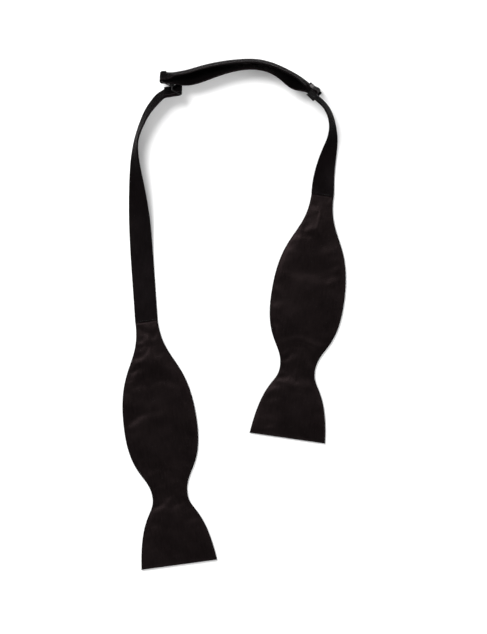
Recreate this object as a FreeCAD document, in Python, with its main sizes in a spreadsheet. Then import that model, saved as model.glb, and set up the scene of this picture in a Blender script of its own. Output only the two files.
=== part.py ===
"""Self-tie bow tie with an adjustable neckband, laid out untied on a flat surface.

Millimetres, +Z up, origin on the surface under the middle of the tie.  The two blades lie
flat; the neckband stands more and more on its outer edge towards the top of the loop, where
a hook, an eye and a slider join and adjust it.
"""
import FreeCAD, Part
import math
import os
from FreeCAD import Matrix, Placement, Rotation, Vector

UP = Vector(0, 0, 1)
LOCAL_X = Vector(1, 0, 0)
LOCAL_Y = Vector(0, 1, 0)

# ---------------------------------------------------------------- driving dimensions
SIZES = {
    # blade outline, as distances from the straight end and half widths
    "blade_length": 206.5,
    "end_half_width": 32.1,
    "end_taper": 0.1,
    "end_reach": 46.7,
    "waist_at": 58.5,
    "waist_half_width": 14.9,
    "waist_reach_out": 14.5,
    "waist_reach_in": 19.1,
    "bulge_at": 117.5,
    "bulge_half_width": 30.9,
    "bulge_reach_out": 39.3,
    "bulge_reach_in": 54.7,
    "neck_reach": 36.8,
    # blade make-up
    "blade_thickness": 2.4,
    "blade_skin": 0.45,
    "blade_edge_wall": 0.6,
    "blade_thread_inset": 0.75,
    "blade_thread_width": 0.4,
    "blade_thread_height": 0.3,
    "blade_interlining_inset": 1.4,
    "blade_interlining_thickness": 1.4,
    "join_thread_length": 15.0,
    "join_thread_radius": 0.25,
    "join_thread_inset": 1.0,
    "neck_gap": 0.02,
    # strap of the neckband
    "strap_width": 19.0,
    "strap_thickness": 1.6,
    "strap_wall": 0.35,
    "strap_interlining_width": 17.4,
    "strap_interlining_thickness": 0.8,
    # hook, worn on the fold of the band
    "metal_lean": 67.0,
    "hook_bar_radius": 0.7,
    "hook_arm_offset": 10.7,
    "hook_arm_width": 1.0,
    "hook_plate_thickness": 0.9,
    "hook_cross_at": 7.2,
    "hook_cross_width": 1.2,
    "hook_tongue_width": 8.0,
    "hook_reach": 10.0,
    "hook_bend_radius": 0.9,
    "hook_lip_length": 1.0,
    "hook_angle": 28.0,
    # eye, worn on the end of the left strap
    "eye_wire_radius": 0.5,
    "eye_arm_radius": 0.45,
    "eye_arm_offset": 10.6,
    "eye_length": 7.0,
    "eye_angle": 30.0,
    # slider, threaded on the right strap
    "slider_lean": 77.0,
    "slider_length": 8.0,
    "slider_rail_thickness": 1.1,
    "slider_rail_offset": 10.6,
    "slider_bar_thickness": 0.9,
    "slider_bar_depth": 1.7,
    "slider_centre_bar_height": 3.5,
    "slider_centre_bar_radius": 0.6,
    # sewn ends and their stitches
    "loop_clearance": 0.15,
    "layer_gap": 0.1,
    "sewn_end_length": 9.0,
    "tab_angle": 10.0,
    "tab_length": 13.0,
    "tab_stitches_at": 5.4,
    "sewn_end_stitches_at": 5.2,
    "stitch_length": 3.2,
    "stitch_radius": 0.2,
    "stitch_pitch": 1.8,
    "stitch_count": 8,
    "stitch_lift": 0.01,
}

LEFT_END = Vector(-46.0, -211.09, 0)
LEFT_LEAN = 7.7
RIGHT_END = Vector(44.68, -104.78, 0)
RIGHT_LEAN = -8.25
HOOK_BAR = Vector(-60.0, 197.8, 12.2)
SLIDER_FOOT = Vector(68.0, 184.9, 2.3)
SLIDER_HEADING = 135.7

# Edge of each strap that stands on the surface: X, Y, lean of the strap from flat, height.
RIGHT_FOOT = [
    (84.0, 105.0, 8, 0.4), (84.2, 115.0, 24, 0.4), (85.6, 131.0, 44, 0.8), (86.6, 145.0, 61, 1.3),
    (85.3, 156.5, 73, 1.8), (82.2, 167.5, 77, 2.3), (77.9, 175.2, 77, 2.3), (71.3, 181.7, 77, 2.3),
    (64.6, 188.2, 76, 2.3), (56.4, 194.9, 60, 2.3), (40.5, 204.0, 66, 2.2), (22.0, 210.2, 70, 2.0),
    (4.9, 210.6, 68, 2.0), (-12.6, 208.4, 61, 2.0), (-29.0, 204.6, 54, 2.2), (-41.0, 201.2, 56, 2.4),
    (-50.5, 199.6, 66, 2.5),
]
LEFT_FOOT = [
    (-83.8, 3.0, 0, 0.3), (-85.3, 24.4, 0, 0.2), (-87.3, 54.6, 6, 0.2), (-88.3, 84.8, 27, 0.3),
    (-87.9, 108.0, 49, 0.8), (-86.3, 130.0, 70, 1.5), (-83.6, 145.0, 80, 2.0),
    (-79.0, 160.0, 78, 2.6), (-73.5, 172.3, 73, 3.0), (-66.5, 182.0, 69, 3.2),
]


# Spacing of the sections along a strap, and the sections of one fold round a bar.
SECTION_PITCH = 8.0
FOLD_SECTIONS = 6
FOLD_LEG = 3.0

# The layer that comes back outside the main run, from the hook to the slider.
RETURN_FROM_X = -50.0
RETURN_TO_X = 52.0
RETURN_FOOT_OFFSET = 2.5
RETURN_LEAN = 80.0
RETURN_HEIGHT = 2.0
RETURN_LEG_SPAN = (12.0, 9.4)

# The tab from the eye: shares of its length on the way in, then distance and offset coming back.
TAB_WAY_IN = (1.0, 0.6, 0.2)
TAB_TURN_DISTANCE = 2.0
TAB_TURN_SHARE = 0.7
TAB_CLOSED_DISTANCES = (5.0, 8.0)


def build_sheet(doc):
    sheet = doc.addObject("Spreadsheet::Sheet", "sizes")
    for row, (alias, value) in enumerate(SIZES.items(), start=1):
        sheet.set(f"A{row}", alias)
        sheet.set(f"B{row}", str(value))
        sheet.setAlias(f"B{row}", alias)
    return sheet


doc = FreeCAD.newDocument("bow_tie")
sheet = build_sheet(doc)
doc.recompute()


def size(alias):
    return float(sheet.get(alias))


def unit(degrees):
    return Vector(math.cos(math.radians(degrees)), math.sin(math.radians(degrees)), 0)


def frame_placement(origin, along, across, normal):
    """Placement whose local X, Y and Z are the three given unit vectors."""
    matrix = Matrix(along.x, across.x, normal.x, origin.x,
                    along.y, across.y, normal.y, origin.y,
                    along.z, across.z, normal.z, origin.z,
                    0, 0, 0, 1)
    return Placement(matrix)


# ---------------------------------------------------------------- blades
def half_outline(inset, side, neck_inset):
    """Three curves from the end corner to the neck, drawn inwards by the inset."""
    def point(along, half_width):
        return Vector(side * (half_width - inset), along, 0)

    start = inset
    neck = size("blade_length") - neck_inset
    neck_half = size("strap_width") / 2
    end_half = size("end_half_width")
    end_in = size("end_reach")
    waist, waist_half = size("waist_at"), size("waist_half_width")
    bulge, bulge_half = size("bulge_at"), size("bulge_half_width")
    poles = [
        [point(start, end_half),
         point(start + end_in, end_half - size("end_taper") * end_in),
         point(waist - size("waist_reach_out"), waist_half),
         point(waist, waist_half)],
        [point(waist, waist_half),
         point(waist + size("waist_reach_in"), waist_half),
         point(bulge - size("bulge_reach_out"), bulge_half),
         point(bulge, bulge_half)],
        [point(bulge, bulge_half),
         point(bulge + size("bulge_reach_in"), bulge_half),
         point(neck - size("neck_reach"), neck_half),
         point(neck, neck_half)],
    ]
    curves = []
    for group in poles:
        curve = Part.BezierCurve()
        curve.setPoles(group)
        curves.append(curve.toBSpline())
    return curves


def outline(inset, neck_inset):
    right = half_outline(inset, 1, neck_inset)
    left = half_outline(inset, -1, neck_inset)
    end_line = Part.LineSegment(left[0].StartPoint, right[0].StartPoint)
    neck_line = Part.LineSegment(right[-1].EndPoint, left[-1].EndPoint)
    return [end_line] + right + [neck_line] + left


def plane_of(body, role):
    return next(item for item in body.Origin.OriginFeatures if item.Role == role)


def sketch_on(body, name, geometry):
    sketch = body.newObject("Sketcher::SketchObject", name)
    sketch.AttachmentSupport = [(plane_of(body, "XY_Plane"), "")]
    sketch.MapMode = "FlatFace"
    for item in geometry:
        sketch.addGeometry(item, False)
    doc.recompute()
    return sketch


def padded_body(label, geometry, thickness):
    body = doc.addObject("PartDesign::Body", label)
    body.Label = label
    pad = body.newObject("PartDesign::Pad", label + "_pad")
    pad.Profile = sketch_on(body, label + "_outline", geometry)
    pad.setExpression("Length", thickness)
    doc.recompute()
    return body


def blade_panel(label, placement):
    """Half of the turned blade: a flat skin with the edge wall that meets the other half."""
    body = padded_body(label, outline(0, 0), "sizes.blade_thickness / 2")
    wall = size("blade_edge_wall")
    hollow = body.newObject("PartDesign::Pocket", label + "_hollow")
    hollow.Profile = sketch_on(body, label + "_hollow_outline", outline(wall, wall))
    hollow.setExpression("Length", "sizes.blade_thickness / 2 - sizes.blade_skin")
    hollow.Reversed = True
    doc.recompute()
    body.Placement = placement
    return body


def build_blade(side_name, end, lean):
    turn = Rotation(UP, lean)
    thickness = size("blade_thickness")
    face_up = Placement(end + UP * (thickness / 2), turn)
    face_down = Placement(end + UP * (thickness / 2), turn.multiply(Rotation(LOCAL_Y, 180)))
    front = blade_panel(side_name + "_blade_front", face_up)
    back = blade_panel(side_name + "_blade_back", face_down)

    inset = size("blade_interlining_inset")
    lining = padded_body(side_name + "_blade_interlining", outline(inset, 2 * inset),
                         "sizes.blade_interlining_thickness")
    lift = (thickness - size("blade_interlining_thickness")) / 2
    lining.Placement = Placement(end + UP * lift, turn)

    outer = size("blade_thread_inset")
    inner = outer + size("blade_thread_width")
    thread = padded_body(side_name + "_blade_seam_thread", outline(outer, outer) + outline(inner, inner),
                         "sizes.blade_thread_height")
    lift = (thickness - size("blade_thread_height")) / 2
    thread.Placement = Placement(end + UP * lift, turn)

    join = doc.addObject("Part::Cylinder", side_name + "_join_seam_thread")
    join.setExpression("Radius", "sizes.join_thread_radius")
    join.setExpression("Height", "sizes.join_thread_length")
    along = size("blade_length") - size("blade_edge_wall") - size("join_thread_inset")
    middle = end + turn.multVec(Vector(-size("join_thread_length") / 2, along, 0)) + UP * (thickness / 2)
    join.Placement = Placement(middle, turn.multiply(Rotation(LOCAL_Y, 90)))
    return [front, back, lining, thread, join]


# ---------------------------------------------------------------- strap runs
class Section:
    """Cross-section of a strap: its middle, the way it runs, its width and its face."""

    def __init__(self, middle, along, across):
        self.middle = middle
        self.along = along
        self.across = across
        self.normal = along.cross(across)

    def rectangle(self, width, thickness):
        u = self.across * (width / 2)
        v = self.normal * (thickness / 2)
        m = self.middle
        return Part.makePolygon([m - u - v, m + u - v, m + u + v, m - u + v, m - u - v])


def section_at(foot, heading, inward, lean, height):
    """Section of a strap that stands on its foot edge and leans inwards from it."""
    angle = math.radians(lean)
    across = inward * math.cos(angle) + UP * math.sin(angle)
    half_width = size("strap_width") / 2
    half_thickness = size("strap_thickness") / 2
    middle = foot + across * half_width + UP * (height + half_thickness * math.cos(angle))
    return Section(middle, heading, across)


def run_sections(stations, turn, pitch):
    """Sections about a pitch apart along a smooth run; turn is +1 where inwards is to the left."""
    path = Part.BSplineCurve()
    path.interpolate(Points=[Vector(x, y, 0) for x, y, lean, height in stations])
    pose = Part.BSplineCurve()
    knots = [path.parameter(Vector(x, y, 0)) for x, y, lean, height in stations]
    pose.interpolate(Points=[Vector(lean, height, x + y) for x, y, lean, height in stations],
                     Parameters=knots)
    count = max(2, round(path.length() / pitch))
    sections = []
    for index in range(count + 1):
        u = path.parameterAtDistance(path.length() * index / count, path.FirstParameter)
        foot = path.value(u)
        heading = path.tangent(u)[0]
        inward = UP.cross(heading) * turn
        lean = max(0.0, pose.value(u).x)
        height = max(0.0, pose.value(u).y)
        sections.append(section_at(foot, heading, inward, lean, height))
    return sections


def neck_section(end, lean, turn):
    """First section of a strap, butted against the neck of its blade."""
    heading = Rotation(UP, lean).multVec(LOCAL_Y)
    middle = end + heading * (size("blade_length") + size("neck_gap")) + UP * (size("blade_thickness") / 2)
    return Section(middle, heading, UP.cross(heading) * turn)


def turn_sections(centre, axis, start, radius, sweep, count):
    """Sections round a bar, from the direction start (a unit vector out of the bar)."""
    sections = []
    for index in range(count + 1):
        rotation = Rotation(axis, sweep * index / count)
        outward = rotation.multVec(start)
        along = axis.cross(outward) * math.copysign(1, sweep)
        sections.append(Section(centre + outward * radius, along, axis))
    return sections


def skin_faces(groups, width, thickness):
    """Side faces of a strap lofted group by group; groups meet at a shared section."""
    faces = []
    for group in groups:
        wires = [section.rectangle(width, thickness) for section in group]
        faces += Part.makeLoft(wires, False, False).Faces
    return faces


def sewn_solid(faces):
    shell = Part.makeShell(faces)
    shell.sewShape()
    solid = Part.makeSolid(shell)
    if solid.Volume < 0:
        solid.reverse()
    return solid


def strap_solids(name, groups):
    """Satin tube, open at both ends, and the interlining strip inside it."""
    width, thickness = size("strap_width"), size("strap_thickness")
    wall = size("strap_wall")
    bore_width, bore_thickness = width - 2 * wall, thickness - 2 * wall
    ends = [groups[0][0], groups[-1][-1]]
    faces = skin_faces(groups, width, thickness) + skin_faces(groups, bore_width, bore_thickness)
    for end in ends:
        rim = Part.Face(end.rectangle(width, thickness))
        faces += rim.cut(Part.Face(end.rectangle(bore_width, bore_thickness))).Faces
    shell = doc.addObject("Part::Feature", name + "_strap")
    shell.Shape = sewn_solid(faces)

    strip_width = size("strap_interlining_width")
    strip_thickness = size("strap_interlining_thickness")
    faces = skin_faces(groups, strip_width, strip_thickness)
    faces += [Part.Face(end.rectangle(strip_width, strip_thickness)) for end in ends]
    lining = doc.addObject("Part::Feature", name + "_strap_interlining")
    lining.Shape = sewn_solid(faces)
    return [shell, lining]


# ---------------------------------------------------------------- metal parts
METAL_LEAN = math.radians(size("metal_lean"))
EAST = Vector(1, 0, 0)
METAL_AXIS = Vector(0, -math.cos(METAL_LEAN), math.sin(METAL_LEAN))
METAL_DEPTH = EAST.cross(METAL_AXIS)


def metal_direction(degrees):
    """Direction square to the bars, turned from east towards the inside of the loop."""
    angle = math.radians(degrees)
    return EAST * math.cos(angle) + METAL_DEPTH * math.sin(angle)


def bound_box(label, length, width, height):
    box = doc.addObject("Part::Box", label)
    box.setExpression("Length", length)
    box.setExpression("Width", width)
    box.setExpression("Height", height)
    return box


def bound_bar(label, radius, half_length):
    """Round bar along local Y, centred."""
    bar = doc.addObject("Part::Cylinder", label)
    bar.setExpression("Radius", radius)
    bar.setExpression("Height", "2 * (" + half_length + ")")
    return bar


def shift(item, x, y, z):
    """Bind the place of a primitive inside its piece to the sheet."""
    item.setExpression("Placement.Base.x", x)
    item.setExpression("Placement.Base.y", y)
    item.setExpression("Placement.Base.z", z)


def along_y(bar, x, half_length, z):
    bar.Placement = Placement(Vector(), Rotation(LOCAL_X, -90))
    shift(bar, x, "-(" + half_length + ")", z)


def fused(label, parts, placement):
    piece = doc.addObject("Part::MultiFuse", label)
    piece.Shapes = parts
    piece.Refine = True
    piece.Label = label
    doc.recompute()
    piece.Placement = placement
    return piece


def build_hook():
    """Flat hook: a bar for the strap, two arms, a cross plate and a tongue bent back as a lip."""
    half = "sizes.hook_arm_offset + sizes.hook_arm_width / 2"
    bar = bound_bar("hook_bar", "sizes.hook_bar_radius", "sizes.hook_arm_offset")
    along_y(bar, "0", "sizes.hook_arm_offset", "0")
    middle = "-sizes.hook_plate_thickness / 2"
    arms = []
    for name, side in (("hook_arm_low", "-"), ("hook_arm_high", "")):
        arm = bound_box(name, "sizes.hook_cross_at + sizes.hook_cross_width / 2", "sizes.hook_arm_width",
                        "sizes.hook_plate_thickness")
        shift(arm, "0", side + "sizes.hook_arm_offset - sizes.hook_arm_width / 2", middle)
        arms.append(arm)
    cross = bound_box("hook_cross", "sizes.hook_cross_width", "2 * (" + half + ")",
                      "sizes.hook_plate_thickness")
    shift(cross, "sizes.hook_cross_at - sizes.hook_cross_width / 2", "-(" + half + ")", middle)
    tongue = bound_box("hook_tongue", "sizes.hook_reach - sizes.hook_cross_at", "sizes.hook_tongue_width",
                       "sizes.hook_plate_thickness")
    shift(tongue, "sizes.hook_cross_at", "-sizes.hook_tongue_width / 2", middle)
    lip = bound_box("hook_lip", "sizes.hook_lip_length", "sizes.hook_tongue_width",
                    "sizes.hook_plate_thickness")
    shift(lip, "sizes.hook_reach - sizes.hook_lip_length", "-sizes.hook_tongue_width / 2",
          "sizes.hook_plate_thickness / 2 + 2 * sizes.hook_bend_radius")
    half_tongue = "sizes.hook_tongue_width / 2"
    bend_height = "sizes.hook_plate_thickness / 2 + sizes.hook_bend_radius"
    disc = bound_bar("hook_bend_disc", "sizes.hook_bend_radius + sizes.hook_plate_thickness", half_tongue)
    along_y(disc, "sizes.hook_reach", half_tongue, bend_height)
    bore = bound_bar("hook_bend_bore", "sizes.hook_bend_radius", half_tongue)
    along_y(bore, "sizes.hook_reach", half_tongue, bend_height)
    ring = doc.addObject("Part::Cut", "hook_bend_ring")
    ring.Base = disc
    ring.Tool = bore
    keep = bound_box("hook_bend_side", "3 * sizes.hook_bend_radius", "sizes.hook_tongue_width",
                     "6 * sizes.hook_bend_radius")
    shift(keep, "sizes.hook_reach", "-sizes.hook_tongue_width / 2", "-sizes.hook_bend_radius")
    bend = doc.addObject("Part::Common", "hook_bend")
    bend.Base = ring
    bend.Tool = keep
    doc.recompute()
    along = metal_direction(size("hook_angle"))
    place = frame_placement(HOOK_BAR, along, METAL_AXIS, along.cross(METAL_AXIS))
    return fused("hook", [bar] + arms + [cross, tongue, lip, bend], place)


def build_eye(far_middle, along):
    """Rectangular wire ring; the far bar sits in the hook and the near bar carries the strap."""
    wire = "sizes.eye_wire_radius"
    half = "sizes.eye_arm_offset + sizes.eye_wire_radius"
    far = bound_bar("eye_far_bar", wire, half)
    along_y(far, "0", half, "0")
    near = bound_bar("eye_near_bar", wire, half)
    along_y(near, "sizes.eye_length", half, "0")
    arms = []
    for name, side in (("eye_arm_low", "-"), ("eye_arm_high", "")):
        arm = doc.addObject("Part::Cylinder", name)
        arm.setExpression("Radius", "sizes.eye_arm_radius")
        arm.setExpression("Height", "sizes.eye_length")
        arm.Placement = Placement(Vector(), Rotation(LOCAL_Y, 90))
        shift(arm, "0", side + "sizes.eye_arm_offset", "0")
        arms.append(arm)
    place = frame_placement(far_middle, along, METAL_AXIS, along.cross(METAL_AXIS))
    return fused("eye", [far, near] + arms, place)


def build_slider(place):
    """Stepped slider: the strap runs between its two outer bars and its raised centre bar."""
    half = "sizes.slider_rail_offset + sizes.slider_rail_thickness / 2"
    bottom = "-(sizes.slider_bar_depth + sizes.slider_bar_thickness / 2)"
    parts = []
    for name, side in (("slider_rail_low", "-"), ("slider_rail_high", "")):
        rail = bound_box(name, "sizes.slider_length", "sizes.slider_rail_thickness",
                         "sizes.slider_centre_bar_height + sizes.slider_bar_depth"
                         " + sizes.slider_bar_thickness / 2 + sizes.slider_centre_bar_radius")
        shift(rail, "-sizes.slider_length / 2",
              side + "sizes.slider_rail_offset - sizes.slider_rail_thickness / 2", bottom)
        parts.append(rail)
    for name, start in (("slider_bar_blade_side", "-sizes.slider_length / 2"),
                        ("slider_bar_hook_side", "sizes.slider_length / 2 - sizes.slider_bar_thickness")):
        bar = bound_box(name, "sizes.slider_bar_thickness", "2 * (" + half + ")",
                        "sizes.slider_bar_thickness")
        shift(bar, start, "-(" + half + ")", bottom)
        parts.append(bar)
    centre = bound_bar("slider_centre_bar", "sizes.slider_centre_bar_radius", "sizes.slider_rail_offset")
    along_y(centre, "0", "sizes.slider_rail_offset", "sizes.slider_centre_bar_height")
    parts.append(centre)
    return fused("slider", parts, place)


def sewn_loop(label, bar_radius, length, place):
    """Strap end folded round a bar at the local origin and sewn to itself along local +X."""
    thickness = size("strap_thickness")
    width = size("strap_width")
    inner = bar_radius + size("loop_clearance")
    outer = inner + thickness
    near = length / 2

    def at(x, z):
        return Vector(x, -width / 2, z)

    outside_arc = Part.Arc(at(0, -outer), at(-outer, 0), at(0, outer)).toShape()
    inside_arc = Part.Arc(at(0, inner), at(-inner, 0), at(0, -inner)).toShape()
    low = -inner - thickness
    fold_low = low + thickness + size("layer_gap") / 2
    top = [at(0, outer), at(near, fold_low + thickness), at(length, fold_low + thickness),
           at(length, fold_low), at(near, fold_low), at(0, inner)]
    bottom = [at(0, -inner), at(length, -inner), at(length, low), at(0, -outer)]
    edges = [outside_arc] + Part.makePolygon(top).Edges + [inside_arc] + Part.makePolygon(bottom).Edges
    face = Part.Face(Part.Wire(Part.__sortEdges__(edges)))
    piece = doc.addObject("Part::Feature", label)
    piece.Shape = face.extrude(Vector(0, width, 0))
    piece.Placement = place
    return piece


def bar_tack(label, along, height, place):
    """Row of short parallel stitches across a strap, lying on its face."""
    count = int(size("stitch_count"))
    stitches = []
    for index in range(count):
        across = (index - (count - 1) / 2) * size("stitch_pitch")
        foot = Vector(along, across, height + size("stitch_lift"))
        half_round = Part.makeCylinder(size("stitch_radius"), size("stitch_length"), foot, LOCAL_X, 180)
        half_round.rotate(foot, LOCAL_X, -90)
        stitches.append(half_round)
    piece = doc.addObject("Part::Feature", label)
    piece.Shape = Part.makeCompound(stitches)
    piece.Placement = place
    return piece


# ---------------------------------------------------------------- right strap with its return
def return_sections(main):
    """The strap comes back outside the main run, closer to upright, from the hook to the slider."""
    half_width = size("strap_width") / 2
    sections = []
    for section in main:
        outward = UP.cross(section.along).normalize() * -1
        level = section.middle - section.across * half_width
        foot = Vector(level.x, level.y, 0) + outward * RETURN_FOOT_OFFSET
        heading = section.along * -1
        sections.append(section_at(foot, heading, outward * -1, RETURN_LEAN, RETURN_HEIGHT))
    return sections


def build_right_strap(slider_place):
    bar_to_strap = size("hook_bar_radius") + size("loop_clearance") + size("strap_thickness") / 2
    main = [neck_section(RIGHT_END, RIGHT_LEAN, 1)] + run_sections(RIGHT_FOOT, 1, SECTION_PITCH)
    fold = turn_sections(HOOK_BAR, METAL_AXIS, METAL_DEPTH, bar_to_strap, -180, FOLD_SECTIONS)
    straight_out = [Section(HOOK_BAR + EAST * x + METAL_DEPTH * bar_to_strap, EAST * -1, METAL_AXIS)
                    for x in (FOLD_LEG, FOLD_LEG / 2)]
    straight_back = [Section(HOOK_BAR + EAST * x - METAL_DEPTH * bar_to_strap, EAST, METAL_AXIS)
                     for x in (FOLD_LEG / 2, FOLD_LEG)]
    beside = [s for s in main if RETURN_FROM_X < s.middle.x < RETURN_TO_X]
    beside.reverse()
    loop_top = size("slider_centre_bar_height") - size("slider_centre_bar_radius")
    leg_height = loop_top - size("loop_clearance") - size("strap_thickness") / 2
    turn = slider_place.Rotation
    ends = []
    for x in RETURN_LEG_SPAN:
        middle = slider_place.multVec(Vector(x, 0, leg_height))
        ends.append(Section(middle, turn.multVec(LOCAL_X) * -1, turn.multVec(LOCAL_Y)))
    out = main + straight_out + [fold[0]]
    back = [fold[-1]] + straight_back + return_sections(beside) + ends
    return strap_solids("right", [out, fold, back])


def build_left_strap(eye_bar, leg):
    """The run from the blade to the eye, the fold round its bar and the end sewn back as a tab."""
    away = metal_direction(leg)
    outer_side = metal_direction(leg - 90)
    radius = size("eye_wire_radius") + size("loop_clearance") + size("strap_thickness") / 2
    run = [neck_section(LEFT_END, LEFT_LEAN, -1)] + run_sections(LEFT_FOOT, -1, SECTION_PITCH)
    incoming = [Section(eye_bar + away * (share * size("tab_length")) + outer_side * radius, away * -1,
                        METAL_AXIS) for share in TAB_WAY_IN]
    fold = []
    for index in range(FOLD_SECTIONS + 1):
        angle = leg - 90 - 180 * index / FOLD_SECTIONS
        fold.append(Section(eye_bar + metal_direction(angle) * radius, metal_direction(angle - 90),
                            METAL_AXIS))
    closed = radius - size("strap_thickness") - size("layer_gap")
    stations = [(TAB_TURN_DISTANCE, -radius * TAB_TURN_SHARE)]
    stations += [(x, closed) for x in TAB_CLOSED_DISTANCES + (size("tab_length"),)]
    back = [Section(eye_bar + away * x + outer_side * offset, away, METAL_AXIS) for x, offset in stations]
    return strap_solids("left", [run + incoming + [fold[0]], fold, [fold[-1]] + back])


def slider_frame():
    """Local X runs with the strap towards the hook, Y up across it, Z out of its upper face."""
    lean = math.radians(size("slider_lean"))
    heading = unit(SLIDER_HEADING)
    inward = UP.cross(heading)
    across = inward * math.cos(lean) + UP * math.sin(lean)
    section = section_at(Vector(SLIDER_FOOT.x, SLIDER_FOOT.y, 0), heading, inward,
                         size("slider_lean"), SLIDER_FOOT.z)
    return frame_placement(section.middle, heading, across, heading.cross(across))


def build_band():
    slider_place = slider_frame()
    hook = build_hook()

    hook_along = metal_direction(size("hook_angle"))
    hook_face = hook_along.cross(METAL_AXIS)
    catch = size("hook_plate_thickness") / 2 + size("hook_bend_radius")
    far = HOOK_BAR + hook_along * size("hook_reach") + hook_face * catch
    eye_along = metal_direction(size("eye_angle"))
    near = far + eye_along * size("eye_length")
    rise = METAL_AXIS * ((HOOK_BAR.z - near.z) / METAL_AXIS.z)
    eye = build_eye(far + rise, eye_along)
    eye_bar = near + rise

    slider = build_slider(slider_place)
    centre_bar = slider_place.multVec(Vector(0, 0, size("slider_centre_bar_height")))
    loop_place = Placement(centre_bar, slider_place.Rotation)
    end_loop = sewn_loop("right_strap_sewn_end", size("slider_centre_bar_radius"),
                         size("sewn_end_length"), loop_place)
    face = (size("strap_thickness") + size("layer_gap") / 2 - size("slider_centre_bar_radius")
            - size("loop_clearance"))
    slider_tack = bar_tack("slider_bar_tack", size("sewn_end_stitches_at"), face, loop_place)

    leg = 180 - size("tab_angle")
    away = metal_direction(leg)
    outer_side = metal_direction(leg - 90)
    radius = size("eye_wire_radius") + size("loop_clearance") + size("strap_thickness") / 2
    tab_face = size("strap_thickness") * 3 / 2 - radius + size("layer_gap")
    tab_place = frame_placement(eye_bar, away, METAL_AXIS, outer_side * -1)
    tab_tack = bar_tack("left_tab_bar_tack", size("tab_stitches_at"), tab_face, tab_place)

    right = build_right_strap(slider_place)
    left = build_left_strap(eye_bar, leg)
    return right + left + [hook, eye, slider, end_loop, slider_tack, tab_tack]


def check(pieces):
    doc.recompute()
    failed = [item.Label for item in doc.Objects
              if "Invalid" in item.State or "Error" in item.State]
    if failed:
        raise RuntimeError("failed objects: " + ", ".join(failed))
    for piece in pieces:
        if piece.Shape.isNull() or not piece.Shape.isValid():
            raise RuntimeError("bad shape: " + piece.Label)
        if piece.Shape.Volume <= 0:
            raise RuntimeError("no volume: " + piece.Label)


def write(pieces):
    os.makedirs("parts", exist_ok=True)
    for piece in pieces:
        piece.Shape.exportStep(os.path.join("parts", piece.Label + ".step"))


pieces = build_blade("left", LEFT_END, LEFT_LEAN)
pieces += build_blade("right", RIGHT_END, RIGHT_LEAN)
pieces += build_band()
check(pieces)
write(pieces)
print("nodes written:", len(pieces))
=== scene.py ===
"""Looks of the untied self-tie bow tie: satin blades, satin neckband, black hardware, stitches."""

import math

import bpy
import numpy as np
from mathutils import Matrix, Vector, noise


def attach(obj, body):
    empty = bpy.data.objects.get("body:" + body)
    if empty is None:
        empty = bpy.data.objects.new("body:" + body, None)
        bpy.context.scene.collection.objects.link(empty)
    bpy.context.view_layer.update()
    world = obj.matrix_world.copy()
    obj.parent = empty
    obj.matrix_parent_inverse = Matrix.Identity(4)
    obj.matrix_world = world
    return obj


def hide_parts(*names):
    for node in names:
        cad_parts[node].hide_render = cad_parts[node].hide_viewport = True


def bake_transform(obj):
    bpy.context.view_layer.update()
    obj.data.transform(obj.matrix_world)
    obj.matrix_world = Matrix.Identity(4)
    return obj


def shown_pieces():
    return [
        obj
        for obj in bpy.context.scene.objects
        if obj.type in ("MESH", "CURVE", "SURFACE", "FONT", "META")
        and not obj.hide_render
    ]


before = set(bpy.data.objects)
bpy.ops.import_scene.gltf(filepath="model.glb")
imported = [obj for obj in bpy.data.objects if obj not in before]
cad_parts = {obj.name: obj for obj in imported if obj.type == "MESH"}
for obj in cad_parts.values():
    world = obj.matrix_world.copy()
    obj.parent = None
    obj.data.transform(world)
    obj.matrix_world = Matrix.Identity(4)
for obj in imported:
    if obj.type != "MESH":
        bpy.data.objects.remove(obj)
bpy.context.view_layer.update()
MM = 0.001
UP = np.array([0.0, 0.0, 1.0])
EAST = np.array([1.0, 0.0, 0.0])
# Lengths are in millimetres and angles in degrees, up to make_object, which turns them into metres.


# ---------------------------------------------------------------- small helpers
def normalized(vector):
    return vector / np.linalg.norm(vector)


def make_object(name, vertices, faces, uvs):
    """A smooth mesh whose UV map is the distance along the cloth or thread."""
    mesh = bpy.data.meshes.new(name)
    mesh.from_pydata([tuple(v * MM) for v in vertices], [], faces)
    layer = mesh.uv_layers.new(name="cloth")
    loops = np.zeros(len(mesh.loops), dtype=np.int64)
    mesh.loops.foreach_get("vertex_index", loops)
    layer.data.foreach_set("uv", (np.asarray(uvs)[loops] * MM).astype(np.float32).ravel())
    mesh.validate()
    for polygon in mesh.polygons:
        polygon.use_smooth = True
    thing = bpy.data.objects.new(name, mesh)
    bpy.context.scene.collection.objects.link(thing)
    return thing


def apply_modifiers(thing):
    graph = bpy.context.evaluated_depsgraph_get()
    mesh = bpy.data.meshes.new_from_object(thing.evaluated_get(graph), depsgraph=graph)
    thing.modifiers.clear()
    thing.data = mesh


def solidify(thing, thickness):
    """Turns one skin into cloth of a real thickness, grown against its normals, to the inside."""
    modifier = thing.modifiers.new("cloth", "SOLIDIFY")
    modifier.thickness = thickness * MM
    modifier.offset = -1.0
    apply_modifiers(thing)


def wander(point, scale, seed):
    """Smooth noise from -1 to 1 at a point, the same for the same seed."""
    return noise.noise(Vector(point) / scale + Vector((seed, 7.3 * seed, 3.1)))


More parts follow.
